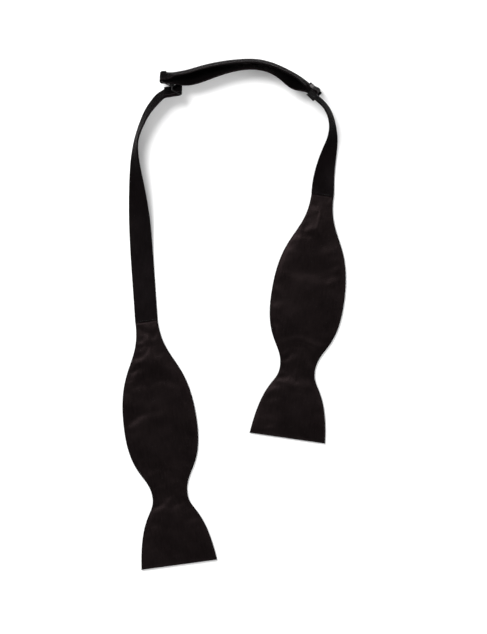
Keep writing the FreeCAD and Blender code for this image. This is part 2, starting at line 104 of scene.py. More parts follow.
# ---------------------------------------------------------------- blades
BLADE_LENGTH = 206.5
BLADE_EDGE_RADIUS = 1.15
BLADE_ROW_PITCH = 2.2
BLADE_COLUMNS = 26
SATIN_THICKNESS = 0.32
SEAM_PINCH = 0.16
SEAM_PINCH_FADE = 12
EDGE_CALM = 5.0
EDGE_LIFT_SHARE = 0.25
LAYING_GAP = 0.12
BROAD_WAVE, BROAD_WAVE_SIZE = 0.55, 24.0
FINE_WAVE, FINE_WAVE_SIZE = 0.22, 11.0
SEAM_PUCKER, SEAM_PUCKER_SIZE, SEAM_PUCKER_REACH = 0.10, 4.6, 4.0
LOFT, LOFT_RIPPLE, LOFT_RIPPLE_SIZE = 0.75, 0.05, 7.0
NECK_LIFT_FADE = 14.0
NECK_LOFT_FADE = 18.0
INTERLINING_INSET = 1.6
INTERLINING_HALF_THICKNESS = 0.62
WELD_DISTANCE = 0.02

# The upper satin's cloth simulation.
SETTLE_STEPS = 22
SETTLE_SINK = 0.28
SETTLE_RISE = 0.75
SETTLE_GROWTH = 0.010
SEAM_HOLD_WIDTH = 1.6
SEAM_HOLD_FADE = 3.0
SEAM_HOLD_NEARBY = 0.10
SEAM_HOLD_LEAST = 0.002

# Bezier poles of half the outline: distance from the straight end, half width.
OUTLINE_POLES = [
    ((0.0, 32.1), (46.7, 27.43), (44.0, 14.9), (58.5, 14.9)),
    ((58.5, 14.9), (77.6, 14.9), (78.2, 30.9), (117.5, 30.9)),
    ((117.5, 30.9), (172.2, 30.9), (169.7, 9.5), (206.5, 9.5)),
]
OUTLINE_SAMPLES = 80
EDGE_ANGLES = [0, 10, 22, 38, 56, 74, 90]


def outline_table():
    """Half width of a blade against the distance from its straight end."""
    t = np.linspace(0, 1, OUTLINE_SAMPLES)[:, None]
    curves = []
    for poles in OUTLINE_POLES:
        a, b, c, d = (np.array(p) for p in poles)
        curves.append((1 - t) ** 3 * a + 3 * (1 - t) ** 2 * t * b
                      + 3 * (1 - t) * t * t * c + t ** 3 * d)
    return np.vstack(curves)


OUTLINE = outline_table()


def half_width(along):
    return np.interp(along, OUTLINE[:, 0], OUTLINE[:, 1])


def outline_slope(along):
    return (half_width(along + 1) - half_width(along - 1)) / 2


def edge_rows():
    """(distance from the edge, share of the full thickness) round a turned edge."""
    rows = []
    for degrees in EDGE_ANGLES:
        angle = math.radians(degrees)
        pinch = SEAM_PINCH * math.exp(-degrees / SEAM_PINCH_FADE)
        rows.append((BLADE_EDGE_RADIUS * (1 - math.cos(angle)) + pinch, math.sin(angle)))
    return rows


class Blade:
    """Shape of one blade in its own frame: X across, Y from the straight end to the neck."""

    def __init__(self, side, end, lean, folds, seed):
        self.side = side
        self.end = np.array(end)
        angle = math.radians(lean)
        self.across = np.array([math.cos(angle), math.sin(angle), 0.0])
        self.along = np.array([-math.sin(angle), math.cos(angle), 0.0])
        self.folds = folds
        self.seed = seed

    def place(self, x, y, z):
        return self.end + self.across * x + self.along * y + UP * z

    def depth(self, x, y):
        """Distance from the nearest edge of the outline."""
        side = (half_width(y) - abs(x)) / math.hypot(1, outline_slope(y))
        return max(0.0, min(side, y))

    def lift(self, x, y):
        """Height of the cloth's lower face over the surface."""
        inside = 1 - math.exp(-self.depth(x, y) / EDGE_CALM)
        height = 0.0
        for fx, fy, turn, long, wide, rise in self.folds:
            angle = math.radians(turn)
            p = (x - fx) * math.cos(angle) + (y - fy) * math.sin(angle)
            q = -(x - fx) * math.sin(angle) + (y - fy) * math.cos(angle)
            height += rise * math.exp(-(p / long) ** 2 - (q / wide) ** 2)
        height += BROAD_WAVE * (0.5 + 0.5 * wander((x, y * 0.7, 0), BROAD_WAVE_SIZE, self.seed))
        height += FINE_WAVE * (0.5 + 0.5 * wander((x, y, 0), FINE_WAVE_SIZE, self.seed + 9))
        near_seam = math.exp(-self.depth(x, y) / SEAM_PUCKER_REACH)
        pucker = SEAM_PUCKER * wander((x * 0.5, y, 0), SEAM_PUCKER_SIZE, self.seed + 2) * near_seam
        neck_blend = min(1.0, max(0.0, (BLADE_LENGTH - y) / NECK_LIFT_FADE))
        edge_blend = EDGE_LIFT_SHARE + (1 - EDGE_LIFT_SHARE) * inside
        return max(0.0, height * edge_blend * neck_blend + LAYING_GAP + pucker)

    def puff(self, x, y):
        """Extra loft of the upper face over the interlining."""
        depth = self.depth(x, y)
        ripple = LOFT_RIPPLE * wander((x, y, 5), LOFT_RIPPLE_SIZE, self.seed + 4)
        neck_blend = min(1.0, (BLADE_LENGTH - y) / NECK_LOFT_FADE)
        return (LOFT * (1 - math.exp(-depth / EDGE_CALM)) + ripple) * neck_blend

    def grid(self, face, inset=0.0, half_thickness=BLADE_EDGE_RADIUS):
        """Vertices, faces and cloth coordinates of one face, +1 upper or -1 lower."""
        edge = edge_rows()
        rows = [(inset + d, share) for d, share in edge]
        first = rows[-1][0]
        rest = BLADE_LENGTH - inset - first
        steps = int(rest / BLADE_ROW_PITCH)
        rows += [(first + rest * i / steps, 1.0) for i in range(1, steps + 1)]
        vertices, uvs = [], []
        for y, row_share in rows:
            stretch = math.hypot(1, outline_slope(y))
            w = half_width(y) - inset
            columns = [(-w + d * stretch, share) for d, share in edge]
            limit = columns[-1][0]
            columns += [(limit - 2 * limit * i / BLADE_COLUMNS, 1.0)
                        for i in range(1, BLADE_COLUMNS)]
            columns += [(w - d * stretch, share) for d, share in reversed(edge)]
            for x, column_share in columns:
                share = min(row_share, column_share)
                middle = self.lift(x, y) + BLADE_EDGE_RADIUS
                z = middle + face * half_thickness * share
                if face > 0:
                    z += self.puff(x, y) * share
                vertices.append(self.place(x, y, z))
                uvs.append((x, y))
        across = len(columns)
        faces = []
        for i in range(len(rows) - 1):
            for j in range(across - 1):
                a = i * across + j
                quad = (a, a + 1, a + across + 1, a + across)
                faces.append(quad if face > 0 else quad[::-1])
        return vertices, faces, uvs

    def panel(self, face):
        """The front (+1) or back (-1) satin."""
        name = f"{self.side}_blade_{'front' if face > 0 else 'back'}_satin"
        vertices, faces, flat = self.grid(face)
        piece = make_object(name, vertices, faces, flat)
        if face > 0:
            self.settle(piece, flat)
        solidify(piece, SATIN_THICKNESS)
        return piece

    def settle(self, piece, flat):
        """Lets the upper satin, cut a little large for its seams, find its own soft wrinkles.

        Each point's whole move is then held within SETTLE_SINK and SETTLE_RISE, so the satin
        neither sinks into the interlining nor balloons.
        """
        mesh = piece.data
        start = np.zeros(len(mesh.vertices) * 3)
        mesh.vertices.foreach_get("co", start)
        start = start.reshape(-1, 3)
        held = piece.vertex_groups.new(name="held")
        for index, (x, y) in enumerate(flat):
            edge = min(self.depth(x, y), BLADE_LENGTH - y)
            weight = 1.0
            if edge >= SEAM_HOLD_WIDTH:
                weight = SEAM_HOLD_NEARBY * math.exp(-(edge - SEAM_HOLD_WIDTH) / SEAM_HOLD_FADE)
            if weight > SEAM_HOLD_LEAST:
                held.add([index], weight, "REPLACE")
        cloth = piece.modifiers.new("settle", "CLOTH")
        cloth.settings.vertex_group_mass = "held"
        cloth.settings.quality = 5
        cloth.settings.mass = 0.15
        cloth.settings.tension_stiffness = cloth.settings.compression_stiffness = 12
        cloth.settings.shear_stiffness = 6
        cloth.settings.bending_stiffness = 0.12
        cloth.settings.shrink_min = -SETTLE_GROWTH
        cloth.settings.use_pressure = True
        cloth.settings.uniform_pressure_force = 0.25
        cloth.settings.effector_weights.gravity = 0.0
        cloth.collision_settings.use_collision = False
        for step in range(1, SETTLE_STEPS + 1):
            bpy.context.scene.frame_set(step)
        graph = bpy.context.evaluated_depsgraph_get()
        result = piece.evaluated_get(graph).to_mesh()
        moved = np.zeros(len(result.vertices) * 3)
        result.vertices.foreach_get("co", moved)
        piece.modifiers.clear()
        piece.vertex_groups.clear()
        bpy.context.scene.frame_set(1)
        shift = moved.reshape(-1, 3) - start
        length = np.linalg.norm(shift, axis=1, keepdims=True)
        limit = np.where(shift[:, 2:3] < 0, SETTLE_SINK, SETTLE_RISE) * MM
        shift *= limit * np.tanh(length / limit) / np.maximum(length, 1e-9)
        mesh.vertices.foreach_set("co", (start + shift).ravel())
        mesh.update()

    def interlining(self):
        """Wool strip inside the blade, a little inside its seams."""
        size = (INTERLINING_INSET, INTERLINING_HALF_THICKNESS)
        vertices, faces, uvs = self.grid(1, *size)
        lower, lower_faces, lower_uvs = self.grid(-1, *size)
        count = len(vertices)
        faces = faces + [tuple(i + count for i in quad) for quad in lower_faces]
        name = f"{self.side}_blade_interlining_wool"
        piece = make_object(name, vertices + lower, faces, uvs + lower_uvs)
        weld = piece.modifiers.new("weld", "WELD")
        weld.merge_threshold = WELD_DISTANCE * MM
        apply_modifiers(piece)
        return piece


# Each soft fold: place across and along, turn, length, width and height.
LEFT_FOLDS = [
    (3, 172, 5, 14, 9, 0.8), (4, 189, 6, 9, 1.8, 0.25), (1, 124, 8, 12, 6, 0.7),
    (-12, 84, 35, 20, 6, 0.4), (6, 40, 80, 26, 9, 0.5), (-16, 28, 60, 16, 5, 0.3),
    (12, 104, 100, 24, 8, 0.4),
]
RIGHT_FOLDS = [
    (2, 183, -5, 14, 10, 0.75), (-2, 124, -12, 14, 9, 0.75), (-12, 100, 65, 26, 7, 0.4),
    (-7, 82, 22, 8, 3.5, 0.4), (6, 82, -22, 8, 3.5, 0.4), (3, 45, 0, 12, 4, 0.4),
    (8, 26, 110, 20, 6, 0.4),
]
BLADES = [
    Blade("left", (-46.0, -211.09, 0.0), 7.7, LEFT_FOLDS, 1.0),
    Blade("right", (44.68, -104.78, 0.0), -8.25, RIGHT_FOLDS, 5.0),
]

# ---------------------------------------------------------------- strap routes
STRAP_WIDTH = 19.0
STRAP_THICKNESS = 1.6
NECK_HEIGHT = 1.2
JOIN_GAP = 0.02
STATION_PITCH = 4.0
ROUTE_PITCH = 1.2
RIGHT_ROUTE_PITCH = 1.5
SEWN_END_PITCH = 0.7
FOLD_PITCH = 0.5
FOLD_STEPS = 8
METAL_LEAN = math.radians(67.0)
HOOK_BAR = np.array([-60.0, 197.8, 12.2])
METAL_AXIS = np.array([0.0, -math.cos(METAL_LEAN), math.sin(METAL_LEAN)])
METAL_DEPTH = np.cross(EAST, METAL_AXIS)
HOOK_STRAP_RADIUS = 1.65
EYE_BAR = np.array([-45.7421, 187.6027, 12.2])
EYE_STRAP_RADIUS = 1.45
TAB_ANGLE = 170.0
TAB_LENGTH = 13.0
TAB_LAYER_GAP = 0.1
SLIDER_FOOT = (68.0, 184.9, 2.3)
SLIDER_HEADING = 135.7
SLIDER_LEAN = 77.0
SLIDER_BAR_HEIGHT = 3.5
SLIDER_STRAP_RADIUS = 1.55
SEWN_END_LENGTH = 9.0
SEWN_END_GAP = 0.1
RETURN_FOOT_OFFSET = 2.5
RETURN_LEAN = 80.0
RETURN_HEIGHT = 2.0
RETURN_SPAN = (-50.0, 52.0)
RETURN_FROM_Y = 180

# Edge of each strap that stands on the surface, from the blade to the metal: X, Y, lean from flat,
# height.
RIGHT_FOOT = [
    (84.0, 105.0, 8, 0.4), (84.2, 115.0, 24, 0.4), (85.6, 131.0, 44, 0.8),
    (86.6, 145.0, 61, 1.3), (85.3, 156.5, 73, 1.8), (82.2, 167.5, 77, 2.3),
    (77.9, 175.2, 77, 2.3), (71.3, 181.7, 77, 2.3), (64.6, 188.2, 76, 2.3),
    (56.4, 194.9, 60, 2.3), (40.5, 204.0, 66, 2.2), (22.0, 210.2, 70, 2.0),
    (4.9, 210.6, 68, 2.0), (-12.6, 208.4, 61, 2.0), (-29.0, 204.6, 54, 2.2),
    (-41.0, 201.2, 56, 2.4), (-50.5, 199.6, 66, 2.5),
]
LEFT_FOOT = [
    (-83.8, 3.0, 0, 0.3), (-85.3, 24.4, 0, 0.2), (-87.3, 54.6, 6, 0.2), (-88.3, 84.8, 27, 0.3),
    (-87.9, 108.0, 49, 0.8), (-86.3, 130.0, 70, 1.5), (-83.6, 145.0, 80, 2.0),
    (-79.0, 160.0, 78, 2.6), (-73.5, 172.3, 73, 3.0), (-66.5, 182.0, 69, 3.2),
]


class Section:
    """Cross-section of a strap: its middle, the way it runs and its width direction."""

    def __init__(self, middle, along, across):
        self.middle = np.asarray(middle, float)
        self.along = normalized(np.asarray(along, float))
        across = np.asarray(across, float)
        self.across = normalized(across - self.along * np.dot(across, self.along))
        self.normal = np.cross(self.along, self.across)


def metal_direction(degrees):
    """Direction in the plane square to the axis that hook and eye share."""
    angle = math.radians(degrees)
    return EAST * math.cos(angle) + METAL_DEPTH * math.sin(angle)


def spline(parameters, values, at):
    """Natural cubic spline through the values, read at the given parameters."""
    x = np.asarray(parameters, float)
    y = np.asarray(values, float)
    n = len(x)
    h = np.diff(x)
    matrix = np.zeros((n, n))
    right = np.zeros((n, y.shape[1]))
    matrix[0, 0] = matrix[-1, -1] = 1.0
    for i in range(1, n - 1):
        matrix[i, i - 1:i + 2] = h[i - 1], 2 * (h[i - 1] + h[i]), h[i]
        right[i] = 6 * ((y[i + 1] - y[i]) / h[i] - (y[i] - y[i - 1]) / h[i - 1])
    bend = np.linalg.solve(matrix, right)
    k = np.clip(np.searchsorted(x, at) - 1, 0, n - 2)
    a = ((x[k + 1] - at) / h[k])[:, None]
    b = ((at - x[k]) / h[k])[:, None]
    hk = (h[k] ** 2)[:, None]
    return a * y[k] + b * y[k + 1] + ((a ** 3 - a) * bend[k] + (b ** 3 - b) * bend[k + 1]) * hk / 6


def section_at(foot, heading, inward, lean, height):
    """Section of a strap whose lower edge stands over the foot and leans inward."""
    angle = math.radians(lean)
    across = inward * math.cos(angle) + UP * math.sin(angle)
    middle = foot + across * STRAP_WIDTH / 2 + UP * (height + STRAP_THICKNESS / 2 * math.cos(angle))
    return Section(middle, heading, across)


def knots_through(points, pitch):
    """Distance of each point along the route, and the distances to read it at."""
    knots = np.concatenate([[0], np.cumsum(np.linalg.norm(np.diff(points, axis=0), axis=1))])
    return knots, np.linspace(0, knots[-1], max(2, round(knots[-1] / pitch)) + 1)


def run_sections(stations, turn):
    """Sections through the stations; turn is the side of the route the neck is on."""
    points = np.array([(x, y) for x, y, lean, height in stations], float)
    pose = np.array([(lean, height) for x, y, lean, height in stations], float)
    knots, at = knots_through(points, STATION_PITCH)
    place = spline(knots, points, at)
    lean_height = spline(knots, pose, at)
    heading = np.gradient(place, at, axis=0)
    sections = []
    for (x, y), (lean, height), (dx, dy) in zip(place, lean_height, heading):
        forward = normalized(np.array([dx, dy, 0.0]))
        inward = np.cross(UP, forward) * turn
        foot = np.array([x, y, 0.0])
        sections.append(section_at(foot, forward, inward, max(0.0, lean), max(0.0, height)))
    return sections


def neck_section(blade, turn):
    """Where a strap starts, flat against its blade's neck."""
    middle = blade.place(0, BLADE_LENGTH + JOIN_GAP, NECK_HEIGHT)
    return Section(middle, blade.along, np.cross(UP, blade.along) * turn)


def refined(sections, pitch):
    """The same route with sections evenly pitch apart, ending the way it did."""
    middles = np.array([s.middle for s in sections])
    across = np.array([s.across for s in sections])
    knots, at = knots_through(middles, pitch)
    place = spline(knots, middles, at)
    width = spline(knots, across, at)
    heading = np.gradient(place, at, axis=0)
    heading[0], heading[-1] = sections[0].along, sections[-1].along
    return [Section(p, d, w) for p, d, w in zip(place, heading, width)]


def metal_fold(centre, radius, first, last):
    """Sections round a bar in the plane square to the metal axis."""
    turn = -90 if last < first else 90
    sections = []
    for i in range(FOLD_STEPS + 1):
        degrees = first + (last - first) * i / FOLD_STEPS
        sections.append(Section(centre + metal_direction(degrees) * radius,
                                metal_direction(degrees + turn), METAL_AXIS))
    return sections


def slider_axes():
    """Middle of the strap under the slider, the way it runs, its width direction and its normal."""
    lean = math.radians(SLIDER_LEAN)
    turn = math.radians(SLIDER_HEADING)
    heading = np.array([math.cos(turn), math.sin(turn), 0.0])
    inward = np.cross(UP, heading)
    across = inward * math.cos(lean) + UP * math.sin(lean)
    x, y, height = SLIDER_FOOT
    middle = section_at(np.array([x, y, 0.0]), heading, inward, SLIDER_LEAN, height).middle
    return middle, heading, across, np.cross(heading, across)


def return_sections(main):
    """Sections of the layer that comes back beside the main run, standing outside it."""
    sections = []
    for s in main:
        level = s.middle - s.across * STRAP_WIDTH / 2
        outward = np.cross(s.along, UP)
        foot = np.array([level[0], level[1], 0.0]) + outward * RETURN_FOOT_OFFSET
        sections.append(section_at(foot, -s.along, -outward, RETURN_LEAN, RETURN_HEIGHT))
    return sections


def right_routes():
    """Sections of the main run with the fold, and of the return layer."""
    main = [neck_section(BLADES[1], 1)] + run_sections(RIGHT_FOOT, 1)
    fold = metal_fold(HOOK_BAR, HOOK_STRAP_RADIUS, 90, 270)
    reach = METAL_DEPTH * HOOK_STRAP_RADIUS
    leg = [Section(HOOK_BAR + EAST * x + reach, -EAST, METAL_AXIS) for x in (3.0, 1.5)]
    leg_back = [Section(HOOK_BAR + EAST * x - reach, EAST, METAL_AXIS) for x in (1.5, 3.0)]
    beside = [s for s in main
              if RETURN_SPAN[0] < s.middle[0] < RETURN_SPAN[1] and s.middle[1] > RETURN_FROM_Y]
    middle, heading, across, normal = slider_axes()
    leg_height = SLIDER_BAR_HEIGHT - SLIDER_STRAP_RADIUS
    ends = [Section(middle + heading * x + normal * leg_height, -heading, across)
            for x in (SEWN_END_LENGTH + 3, SEWN_END_LENGTH + SEWN_END_GAP)]
    out = refined(main + leg[:1], RIGHT_ROUTE_PITCH)
    out += refined(leg + fold + leg_back, FOLD_PITCH)[1:]
    back = refined(leg_back[-1:] + return_sections(beside[::-1]) + ends, RIGHT_ROUTE_PITCH)
    return out, back


def sewn_end_route():
    """The strap's end round the slider's centre bar, closed against itself."""
    middle, heading, across, normal = slider_axes()
    bar = middle + normal * SLIDER_BAR_HEIGHT
    radius = SLIDER_STRAP_RADIUS
    closed = -radius + STRAP_THICKNESS + SEWN_END_GAP
    sections = [Section(bar + heading * x - normal * radius, -heading, across)
                for x in (SEWN_END_LENGTH + SEWN_END_GAP, 6.0, 3.0)]
    for i in range(FOLD_STEPS + 1):
        angle = math.radians(-90 - 180 * i / FOLD_STEPS)
        out = heading * math.cos(angle) + normal * math.sin(angle)
        forward = heading * math.sin(angle) - normal * math.cos(angle)
        sections.append(Section(bar + out * radius, forward, across))
    for x, open_share in ((2.2, 0.55), (4.5, 0.0), (7.0, 0.0), (SEWN_END_LENGTH, 0.0)):
        offset = closed + (radius - closed) * open_share
        sections.append(Section(bar + heading * x + normal * offset, heading, across))
    return refined(sections, SEWN_END_PITCH)


def left_route():
    """Sections from the left blade's neck to the eye, round its bar and back along the tab."""
    away = metal_direction(TAB_ANGLE)
    outer_side = metal_direction(TAB_ANGLE - 90)
    radius = EYE_STRAP_RADIUS
    run = [neck_section(BLADES[0], -1)] + run_sections(LEFT_FOOT, -1)
    incoming = [Section(EYE_BAR + away * x + outer_side * radius, -away, METAL_AXIS)
                for x in (TAB_LENGTH, TAB_LENGTH * 0.6, TAB_LENGTH * 0.2)]
    fold = metal_fold(EYE_BAR, radius, TAB_ANGLE - 90, TAB_ANGLE - 270)
    closed = radius - STRAP_THICKNESS - TAB_LAYER_GAP
    back = [Section(EYE_BAR + away * x + outer_side * offset, away, METAL_AXIS) for x, offset in
            ((2.0, -radius * 0.7), (5.0, closed), (8.0, closed), (TAB_LENGTH, closed))]
    return (refined(run + incoming[:1], ROUTE_PITCH)
            + refined(incoming + fold + back, FOLD_PITCH)[1:])


# ---------------------------------------------------------------- strap cloth
FACE_STEPS = 12
CORNER_STEPS = 8
SEAM_FACE = [7.4, 5.6, 3.6, 1.8, 0.8, 0.35]
SEAM_VALLEY_WIDTH = 0.4
SEAM_RIDGE_PLACE, SEAM_RIDGE_WIDTH, SEAM_RIDGE_SHARE = 1.1, 0.7, 0.45
SEAM_FACE_CROWN = 0.4
END_CALM = 6.0
WOOL_WIDTH = 17.0
WOOL_THICKNESS = 0.7


def ring_profile(width, thickness, crown, groove):
    """Closed outline of a flattened tube: across, and out of its face.

    It stays within width and thickness. One face is flat or crowned, the other has the
    lengthwise seam as a valley between two low ridges.
    """
    half, thin = width / 2, thickness / 2
    corner = thin * 0.98
    flat = half - corner
    points = []
    for i in range(FACE_STEPS + 1):
        v = -flat + 2 * flat * i / FACE_STEPS
        points.append((v, thin - crown * (v / half) ** 2))
    for i in range(1, CORNER_STEPS):
        angle = math.radians(90 - 180 * i / CORNER_STEPS)
        points.append((flat + corner * math.cos(angle), thin * math.sin(angle)))
    for v in [flat, *SEAM_FACE, 0.0, *(-v for v in reversed(SEAM_FACE)), -flat]:
        beyond = 1 - math.exp(-((abs(v) - SEAM_RIDGE_PLACE) / SEAM_RIDGE_WIDTH) ** 2)
        dent = groove * (math.exp(-(v / SEAM_VALLEY_WIDTH) ** 2) + SEAM_RIDGE_SHARE * beyond)
        points.append((v, -thin + crown * SEAM_FACE_CROWN * (v / half) ** 2 + dent))
    for i in range(1, CORNER_STEPS):
        angle = math.radians(-90 - 180 * i / CORNER_STEPS)
        points.append((-flat + corner * math.cos(angle), thin * math.sin(angle)))
    return points


def strap(name, sections, seed, width=STRAP_WIDTH, thickness=STRAP_THICKNESS, crown=0.12,
          groove=0.28, ripple=0.16, wall=SATIN_THICKNESS, start=0.0, seam_side=1, calm=END_CALM):
    """A strap along a route, and its length: a hollow satin tube, or a solid strip where wall is 0.

    The ripple only thins the strap, so it keeps the clearances of the metal. It fades out at both
    ends, over the last calm millimetres of the far one. seam_side -1 puts the seam on the other
    face. start is the distance already run, for a layer that carries on from another.
    """
    ring = ring_profile(width, thickness, crown, groove)
    profile = [(v * seam_side, w * seam_side) for v, w in ring]
    around = len(profile)
    lengths = [0.0]
    for a, b in zip(sections, sections[1:]):
        lengths.append(lengths[-1] + float(np.linalg.norm(b.middle - a.middle)))
    girth = [0.0]
    for a, b in zip(profile, profile[1:]):
        girth.append(girth[-1] + math.dist(a, b))
    vertices, uvs = [], []
    for section, distance in zip(sections, lengths):
        ends = min(1.0, distance / END_CALM, (lengths[-1] - distance) / calm)
        for (v, w), g in zip(profile, girth):
            wave = wander((v * 0.6, start + distance, 0), 9.0, seed) * 0.7
            wave += wander((v * 0.9, start + distance, 9), 4.0, seed + 3) * 0.3
            w *= 1 - ripple / thickness * (1 + wave) * max(0.0, ends)
            vertices.append(section.middle + section.across * v + section.normal * w)
            uvs.append((g, start + distance))
    faces = []
    for i in range(len(sections) - 1):
        for j in range(around):
            k = (j + 1) % around
            near, far = i * around, (i + 1) * around
            faces.append((near + k, near + j, far + j, far + k))
    if not wall:
        faces.append(tuple(range(around)))
        faces.append(tuple((len(sections) - 1) * around + j for j in range(around))[::-1])
    piece = make_object(name, vertices, faces, uvs)
    if wall:
        solidify(piece, wall)
    return piece, lengths[-1]


def wool_strip(name, sections, seed):
    """The soft strip inside a strap."""
    return strap(name, sections, seed, WOOL_WIDTH, WOOL_THICKNESS, 0.0, 0.0, 0.0, 0.0)[0]


# ---------------------------------------------------------------- thread and stitches
THREAD_SIDES = 8
STITCH_STEPS = 10
STITCH_SINK = 0.16
TACK_COUNT = 9
TACK_PITCH = 1.75
TACK_RADIUS = 0.2
TACK_BULGE = 0.34
TAB_TACK_RISE = 0.12
SEAM_THREAD_INSET = 0.75
SEAM_THREAD_RADIUS = 0.11
SEAM_STITCH_PITCH = 1.2
JOIN_THREAD_RADIUS = 0.09
JOIN_MIDDLE, JOIN_HALF_THICKNESS = 1.24, 0.92


def thread_piece(name, lines, radius, sides=THREAD_SIDES):
    """Thread along one or more lines of points."""
    vertices, uvs, faces = [], [], []
    for line in lines:
        line = [np.asarray(p, float) for p in line]
        heading = np.gradient(np.array(line), axis=0)
        guide = UP if abs(normalized(heading[0])[2]) < 0.9 else EAST
        first = len(vertices)
        distance = 0.0
        for i, (point, direction) in enumerate(zip(line, heading)):
            direction = normalized(direction)
            side = normalized(np.cross(direction, guide))
            guide = np.cross(side, direction)
            if i:
                distance += float(np.linalg.norm(point - line[i - 1]))
            for k in range(sides):
                angle = 2 * math.pi * k / sides
                vertices.append(point + (side * math.cos(angle) + guide * math.sin(angle)) * radius)
                uvs.append((radius * angle, distance))
        for i in range(len(line) - 1):
            for k in range(sides):
                n = (k + 1) % sides
                a = first + i * sides
                faces.append((a + k, a + n, a + sides + n, a + sides + k))
        last = first + (len(line) - 1) * sides
        faces.append(tuple(first + k for k in range(sides))[::-1])
        faces.append(tuple(last + k for k in range(sides)))
    return make_object(name, vertices, faces, uvs)


def seam_lines(blade):
    """Lockstitch line just inside the turned edge, up one side, round the end and back."""
    inset, pitch = SEAM_THREAD_INSET, SEAM_STITCH_PITCH
    route = [(half_width(y) - inset, y) for y in np.arange(BLADE_LENGTH - 3, inset, -pitch)]
    end = half_width(inset) - inset
    route += [(x, inset) for x in np.linspace(end, -end, 50)]
    route += [(inset - half_width(y), y) for y in np.arange(inset, BLADE_LENGTH - 3, pitch)]
    line = []
    for i, (x, y) in enumerate(route):
        z = blade.lift(x, y) + BLADE_EDGE_RADIUS + (0.12 if i % 2 else -0.12)
        line.append(blade.place(x, y, z))
    return [line]


def stitch(foot, run, out, length, bulge):
    """One hand stitch: out of the cloth, over it and back in."""
    points = []
    for i in range(STITCH_STEPS + 1):
        share = i / STITCH_STEPS
        height = bulge * (1 - (2 * share - 1) ** 4) - STITCH_SINK
        points.append(foot + run * length * (share - 0.5) + out * height)
    return points


# ---------------------------------------------------------------- build the cloth
for blade in BLADES:
    name = blade.side
    for face, node in ((1, "front"), (-1, "back")):
        panel = blade.panel(face)
        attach(panel, f"{name}_half")
        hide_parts(f"{name}_blade_{node}")
    wool = blade.interlining()
    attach(wool, f"{name}_half")
    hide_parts(f"{name}_blade_interlining")
    seam = thread_piece(f"{name}_blade_seam_stitches", seam_lines(blade), SEAM_THREAD_RADIUS)
    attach(seam, f"{name}_half")
    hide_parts(f"{name}_blade_seam_thread")

right_out, right_back = right_routes()
right_main, main_length = strap("right_strap_satin", right_out, 11.0)
right_return, back_length = strap("right_strap_return_satin", right_back, 11.0,
                                  ripple=0.30, start=main_length)
right_wool = wool_strip("right_strap_interlining_wool", right_out[2:-1], 12.0)
return_wool = wool_strip("right_strap_return_wool", right_back[1:-2], 12.0)
left_sections = left_route()
left_strap, left_length = strap("left_strap_satin", left_sections, 21.0,
                                crown=0.0, groove=0.08, seam_side=-1, calm=60.0)
left_wool = wool_strip("left_strap_interlining_wool", left_sections[2:-2], 22.0)
sewn_end, sewn_length = strap("right_strap_sewn_end_satin", sewn_end_route(), 31.0,
                              ripple=0.05, crown=0.0)

for piece, body, length in ((right_main, "right_half", main_length),
                            (left_strap, "left_half", left_length),
                            (sewn_end, "slider", sewn_length)):
    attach(piece, body)

# The slider's axes, used by its bar tack further down. The return layer and its wool get their
# placement baked into their meshes.
slider_middle, slider_heading, slider_across, slider_normal = slider_axes()
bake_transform(right_return)
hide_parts("right_strap")
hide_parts("left_strap")
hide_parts("right_strap_sewn_end")
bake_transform(return_wool)
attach(right_wool, "right_half")
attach(left_wool, "left_half")
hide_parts("right_strap_interlining")
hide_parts("left_strap_interlining")


def join_stitches(blade):
    """Short stitches across the seam where the strap meets the blade's neck."""
    lines = []
    for face in (1, -1):
        for x in np.arange(-8.0, 8.1, 1.6):
            foot = blade.place(x, BLADE_LENGTH, JOIN_MIDDLE + face * JOIN_HALF_THICKNESS)
            lines.append(stitch(foot, blade.along, UP * face, 1.3, 0.22))
    return lines


def bar_tack(foot, run, across, out, heights, length, stagger=0.0):
    """Row of stitches side by side across a strap, at these heights over its middle."""
    lines = []
    for i in range(TACK_COUNT):
        offset = (i - TACK_COUNT // 2) * TACK_PITCH
        start = foot + run * stagger * (i % 2) + across * offset + out * heights(offset)
        lines.append(stitch(start, run, out, length, TACK_BULGE))
    return lines


for blade in BLADES:
    name = blade.side
    join = thread_piece(f"{name}_join_stitches", join_stitches(blade), JOIN_THREAD_RADIUS)
    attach(join, f"{name}_half")
    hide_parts(f"{name}_join_seam_thread")


def tab_height(offset):
    """Where the stitches cross the tab's outer face, a little higher in the middle of the row."""
    return EYE_STRAP_RADIUS + STRAP_THICKNESS / 2 + TAB_TACK_RISE * (1 - (offset / 9.5) ** 2)


def sewn_end_height(offset):
    """The outer face of the strap's end where it lies on itself."""
    return SLIDER_BAR_HEIGHT - SLIDER_STRAP_RADIUS + STRAP_THICKNESS * 1.5 + SEWN_END_GAP


tab_away = metal_direction(TAB_ANGLE)
tab_lines = bar_tack(EYE_BAR + tab_away * 7.0, tab_away, METAL_AXIS,
                     metal_direction(TAB_ANGLE - 90), tab_height, 3.3, stagger=0.25)
tab_tack = thread_piece("left_tab_tack_stitches", tab_lines, TACK_RADIUS)
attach(tab_tack, "left_half")
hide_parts("left_tab_bar_tack")

slider_lines = bar_tack(slider_middle + slider_heading * 5.8, slider_heading, slider_across,
                        slider_normal, sewn_end_height, 3.0)
slider_tack = thread_piece("slider_tack_stitches", slider_lines, TACK_RADIUS)
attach(slider_tack, "slider")
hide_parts("slider_bar_tack")


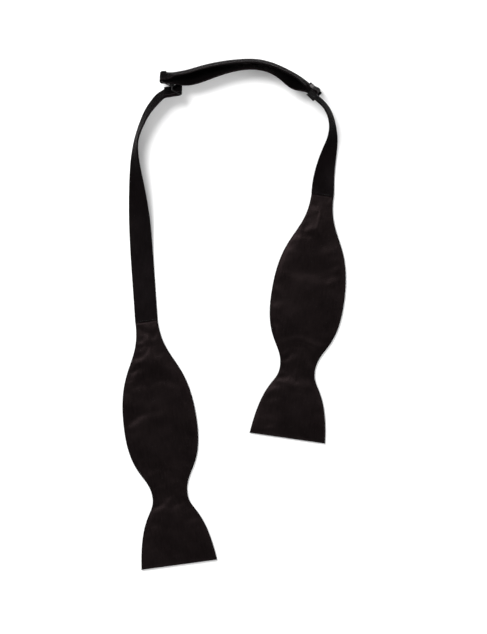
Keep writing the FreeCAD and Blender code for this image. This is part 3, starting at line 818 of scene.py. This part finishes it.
# ---------------------------------------------------------------- materials
class Shader:
    """A node material with short calls for the nodes it uses."""

    def __init__(self, name):
        self.material = bpy.data.materials.new(name)
        self.material.use_nodes = True
        self.tree = self.material.node_tree
        self.main = self.tree.nodes["Principled BSDF"]

    def node(self, kind, **settings):
        made = self.tree.nodes.new(kind)
        for key, value in settings.items():
            setattr(made, key, value)
        return made

    def link(self, source, target):
        self.tree.links.new(source, target)

    def constants(self, **values):
        """Sets uniform sockets of the main node; an underscore stands for a space."""
        for key, value in values.items():
            self.main.inputs[key.replace("_", " ")].default_value = value

    def coordinates(self, kind="UV"):
        return self.node("ShaderNodeTexCoord").outputs[kind]

    def scaled(self, source, scale):
        mapping = self.node("ShaderNodeMapping")
        mapping.inputs["Scale"].default_value = scale
        self.link(source, mapping.inputs["Vector"])
        return mapping.outputs["Vector"]

    def noise(self, source, scale, detail=3.0, roughness=0.55):
        made = self.node("ShaderNodeTexNoise")
        made.inputs["Scale"].default_value = scale
        made.inputs["Detail"].default_value = detail
        made.inputs["Roughness"].default_value = roughness
        self.link(source, made.inputs["Vector"])
        return made.outputs["Fac"]

    def remap(self, source, low, high, out_low, out_high):
        made = self.node("ShaderNodeMapRange")
        sockets = ("From Min", "From Max", "To Min", "To Max")
        for socket, value in zip(sockets, (low, high, out_low, out_high)):
            made.inputs[socket].default_value = value
        self.link(source, made.inputs["Value"])
        return made.outputs["Result"]

    def math(self, operation, first, second):
        made = self.node("ShaderNodeMath", operation=operation)
        for socket, value in zip(made.inputs, (first, second)):
            if isinstance(value, (int, float)):
                socket.default_value = value
            else:
                self.link(value, socket)
        return made.outputs[0]

    def mix_colour(self, factor, first, second):
        made = self.node("ShaderNodeMix", data_type="RGBA")
        self.link(factor, made.inputs["Factor"])
        for socket, value in zip((made.inputs[6], made.inputs[7]), (first, second)):
            if isinstance(value, tuple):
                socket.default_value = (*value, 1.0)
            else:
                self.link(value, socket)
        return made.outputs[2]

    def wave(self, source, pitch_m, direction="X", distortion=0.0):
        """Parallel ribs a fixed distance apart along one axis."""
        made = self.node("ShaderNodeTexWave", wave_type="BANDS", bands_direction=direction)
        made.inputs["Scale"].default_value = 2 * math.pi / (20.0 * pitch_m)
        made.inputs["Distortion"].default_value = distortion
        made.inputs["Detail"].default_value = 2.0
        made.inputs["Detail Scale"].default_value = 1.5
        self.link(source, made.inputs["Vector"])
        return made.outputs["Fac"]

    def bump(self, height, strength, distance_m, before=None):
        made = self.node("ShaderNodeBump")
        made.inputs["Strength"].default_value = strength
        made.inputs["Distance"].default_value = distance_m
        self.link(height, made.inputs["Height"])
        if before is not None:
            self.link(before, made.inputs["Normal"])
        return made.outputs["Normal"]

    def paint(self, *things):
        for thing in things:
            thing.data.materials.clear()
            thing.data.materials.append(self.material)


WARP_PITCH = 0.00022
WEFT_PITCH = 0.00050
LINT_COLOUR = (0.09, 0.085, 0.085)


def satin(name, dark, light):
    """Black satin: long floating warp threads, soft sheen, faint slubs, patches of wear in the
    roughness that are also painted lighter as sheen, and lint.

    Mostly a dark metallic reflection, as satin's floats give, whose colour at grazing angles is
    held down too: a plain dielectric turns the upright band white along its edges.
    """
    s = Shader(name)
    cloth = s.coordinates()
    warp = s.wave(cloth, WARP_PITCH, "X", 0.6)
    weft = s.wave(cloth, WEFT_PITCH, "Y", 1.4)
    weave = s.math("ADD", s.math("MULTIPLY", warp, 0.7), s.math("MULTIPLY", weft, 0.3))
    slub = s.noise(s.scaled(cloth, (1.0, 0.12, 1.0)), 900.0, 3.0)
    rubbed_and_sheen = s.noise(cloth, 34.0, 3.0, 0.5)
    crumple = s.noise(cloth, 70.0, 2.0, 0.4)
    lint = s.remap(s.noise(s.coordinates("Object"), 1500.0, 1.0), 0.74, 0.80, 0.0, 1.0)
    # The same patches get a lighter base colour, which is painted sheen: at this metallic value the
    # base colour is the reflection's colour. Their roughness change below is real wear.
    base = s.mix_colour(s.remap(rubbed_and_sheen, 0.35, 0.7, 0.0, 1.0), dark, light)
    slub_colour = tuple(c * 1.7 for c in light)
    thread_shade = s.mix_colour(s.remap(slub, 0.3, 0.75, 0.0, 0.3), base, slub_colour)
    colour = s.mix_colour(s.math("MULTIPLY", lint, 0.35), thread_shade, LINT_COLOUR)
    s.link(colour, s.main.inputs["Base Color"])
    worn = s.remap(rubbed_and_sheen, 0.3, 0.75, 0.34, 0.46)
    roughness = s.math("ADD", worn, s.remap(slub, 0.2, 0.8, -0.03, 0.03))
    s.link(roughness, s.main.inputs["Roughness"])
    fine = s.bump(weave, 0.30, 0.00006)
    mid = s.bump(slub, 0.25, 0.00008, fine)
    s.link(s.bump(crumple, 0.22, 0.0010, mid), s.main.inputs["Normal"])
    s.constants(Metallic=0.82, Sheen_Weight=0.004, Sheen_Roughness=0.6, IOR=1.2,
                Specular_IOR_Level=0.05, Sheen_Tint=(0.9, 0.82, 0.84, 1.0),
                Specular_Tint=(0.22, 0.20, 0.20, 1.0))
    return s


def wool(name):
    """Brushed interlining: pale felt with loose fibres."""
    s = Shader(name)
    place = s.coordinates("Object")
    fibre = s.noise(s.scaled(place, (1.0, 0.25, 1.0)), 2200.0, 5.0, 0.7)
    clump = s.noise(place, 160.0, 3.0)
    patch = s.remap(clump, 0.3, 0.7, 0.0, 1.0)
    base = s.mix_colour(patch, (0.33, 0.30, 0.26), (0.45, 0.42, 0.37))
    colour = s.mix_colour(s.remap(fibre, 0.4, 0.8, 0.0, 0.7), base, (0.60, 0.57, 0.52))
    s.link(colour, s.main.inputs["Base Color"])
    s.link(s.remap(fibre, 0.0, 1.0, 0.86, 1.0), s.main.inputs["Roughness"])
    s.link(s.bump(fibre, 0.6, 0.0002), s.main.inputs["Normal"])
    s.constants(Sheen_Weight=0.4, Sheen_Roughness=0.6)
    return s


def twisted_thread(name, dark, light, pitch):
    """Plied sewing thread: slanted, twisted plies with a soft lustre, whose colour is painted
    lighter on the ridges and darker in the grooves as painted shade.
    """
    s = Shader(name)
    uv = s.coordinates()
    turned = s.node("ShaderNodeMapping")
    turned.inputs["Rotation"].default_value = (0.0, 0.0, math.radians(32))
    s.link(uv, turned.inputs["Vector"])
    ply_ridges_and_shade = s.wave(turned.outputs["Vector"], pitch, "Y", 0.3)
    fuzz = s.noise(s.coordinates("Object"), 4000.0, 3.0)
    # Colour lighter on the ply ridges and darker in the grooves between them: painted shade. The
    # same bands also give the bump below.
    s.link(s.mix_colour(ply_ridges_and_shade, dark, light), s.main.inputs["Base Color"])
    s.link(s.remap(fuzz, 0.2, 0.8, 0.42, 0.6), s.main.inputs["Roughness"])
    s.link(s.bump(fuzz, 0.2, 0.00003, s.bump(ply_ridges_and_shade, 0.6, 0.00006)), s.main.inputs["Normal"])
    s.constants(Sheen_Weight=0.25, Sheen_Roughness=0.4)
    return s


def enamel(name, colour, bare, wear):
    """Black stove enamel over metal: orange peel, fine scuffs and a few bare specks."""
    s = Shader(name)
    place = s.coordinates("Object")
    peel = s.noise(place, 1300.0, 2.0)
    scuff = s.noise(s.scaled(place, (1.0, 5.0, 1.0)), 700.0, 4.0, 0.65)
    speck = s.remap(s.noise(place, 900.0, 3.0, 0.6), wear, wear + 0.03, 0.0, 1.0)
    s.link(s.mix_colour(speck, colour, bare), s.main.inputs["Base Color"])
    s.link(speck, s.main.inputs["Metallic"])
    s.link(s.remap(scuff, 0.3, 0.75, 0.20, 0.42), s.main.inputs["Roughness"])
    s.link(s.bump(scuff, 0.15, 0.00004, s.bump(peel, 0.25, 0.00008)), s.main.inputs["Normal"])
    s.constants(Coat_Weight=0.06, Coat_Roughness=0.12, IOR=1.35, Specular_IOR_Level=0.22)
    return s


STEEL = (0.42, 0.41, 0.40)
blade_cloth = satin("blade_satin_cloth", (0.0058, 0.0041, 0.0042), (0.0092, 0.0066, 0.0067))
# The straps' satin is the blades' satin painted darker. This is painted shade for the upright band,
# which catches less light, not a different cloth.
shaded_strap_cloth = satin("strap_satin_cloth", (0.0045, 0.0035, 0.0037), (0.0068, 0.0053, 0.0056))
inner_wool = wool("interlining_wool")
seam_thread = twisted_thread("seam_thread", (0.012, 0.010, 0.010), (0.028, 0.024, 0.024), 0.0003)
tack_thread = twisted_thread("tack_thread", (0.050, 0.044, 0.045), (0.130, 0.118, 0.120), 0.0004)
hook_enamel = enamel("hook_enamel", (0.004, 0.0036, 0.0036), STEEL, 0.70)
eye_enamel = enamel("eye_enamel", (0.0045, 0.004, 0.004), STEEL, 0.69)
slider_enamel = enamel("slider_enamel", (0.0025, 0.0022, 0.0022), (0.45, 0.44, 0.43), 0.68)

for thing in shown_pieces():
    name = thing.name
    if name.endswith("_wool"):
        inner_wool.paint(thing)
    elif "tack" in name:
        tack_thread.paint(thing)
    elif name.endswith("_stitches"):
        seam_thread.paint(thing)
    elif "blade" in name:
        blade_cloth.paint(thing)
    elif "strap" in name:
        shaded_strap_cloth.paint(thing)
for node, paint in (("hook", hook_enamel), ("eye", eye_enamel), ("slider", slider_enamel)):
    paint.paint(bpy.data.objects[node])

# ---------------------------------------------------------------- floor, light, camera
FLOOR_REACH = 3
FLOOR_LEVEL = -0.0002
corners = [(FLOOR_REACH * x, FLOOR_REACH * y, FLOOR_LEVEL)
           for x, y in ((-1, -1), (1, -1), (1, 1), (-1, 1))]
floor_mesh = bpy.data.meshes.new("floor")
floor_mesh.from_pydata(corners, [], [(0, 1, 2, 3)])
floor = bpy.data.objects.new("floor", floor_mesh)
bpy.context.scene.collection.objects.link(floor)
floor_paint = Shader("floor_white")
floor_paint.constants(Base_Color=(0.92, 0.92, 0.92, 1.0), Roughness=0.9, Specular_IOR_Level=0.1)
floor_paint.paint(floor)

world = bpy.data.worlds.new("studio")
bpy.context.scene.world = world
world.use_nodes = True
sky = world.node_tree.nodes["Background"]
sky.inputs["Color"].default_value = (1.0, 1.0, 1.0, 1.0)
sky.inputs["Strength"].default_value = 0.42


def area_light(name, place, size, watts):
    """A square lamp that faces the middle of the part."""
    data = bpy.data.lights.new(name, "AREA")
    data.shape = "RECTANGLE"
    data.size = data.size_y = size
    data.energy = watts
    lamp = bpy.data.objects.new(name, data)
    lamp.location = place
    lamp.rotation_euler = (-Vector(place)).to_track_quat("-Z", "Y").to_euler()
    bpy.context.scene.collection.objects.link(lamp)
    return lamp


lamps = [
    area_light("key", (-0.62, 0.80, 1.30), 0.7, 29.0),
    area_light("side_fill", (1.15, 0.15, 1.10), 0.9, 7.0),
    area_light("low_fill", (-0.35, -1.25, 1.10), 0.9, 9.0),
]

# A long lens far above: the photo shows the upright band with hardly any perspective.
camera_data = bpy.data.cameras.new("camera")
camera_data.lens = 300.0
camera_data.sensor_width = 36.0
camera_data.sensor_fit = "VERTICAL"
camera_data.sensor_height = 36.0
camera = bpy.data.objects.new("camera", camera_data)
camera.location = (0.0079, -0.0030, 4.438)
bpy.context.scene.collection.objects.link(camera)
bpy.context.scene.camera = camera
bpy.context.scene.view_settings.view_transform = "Standard"
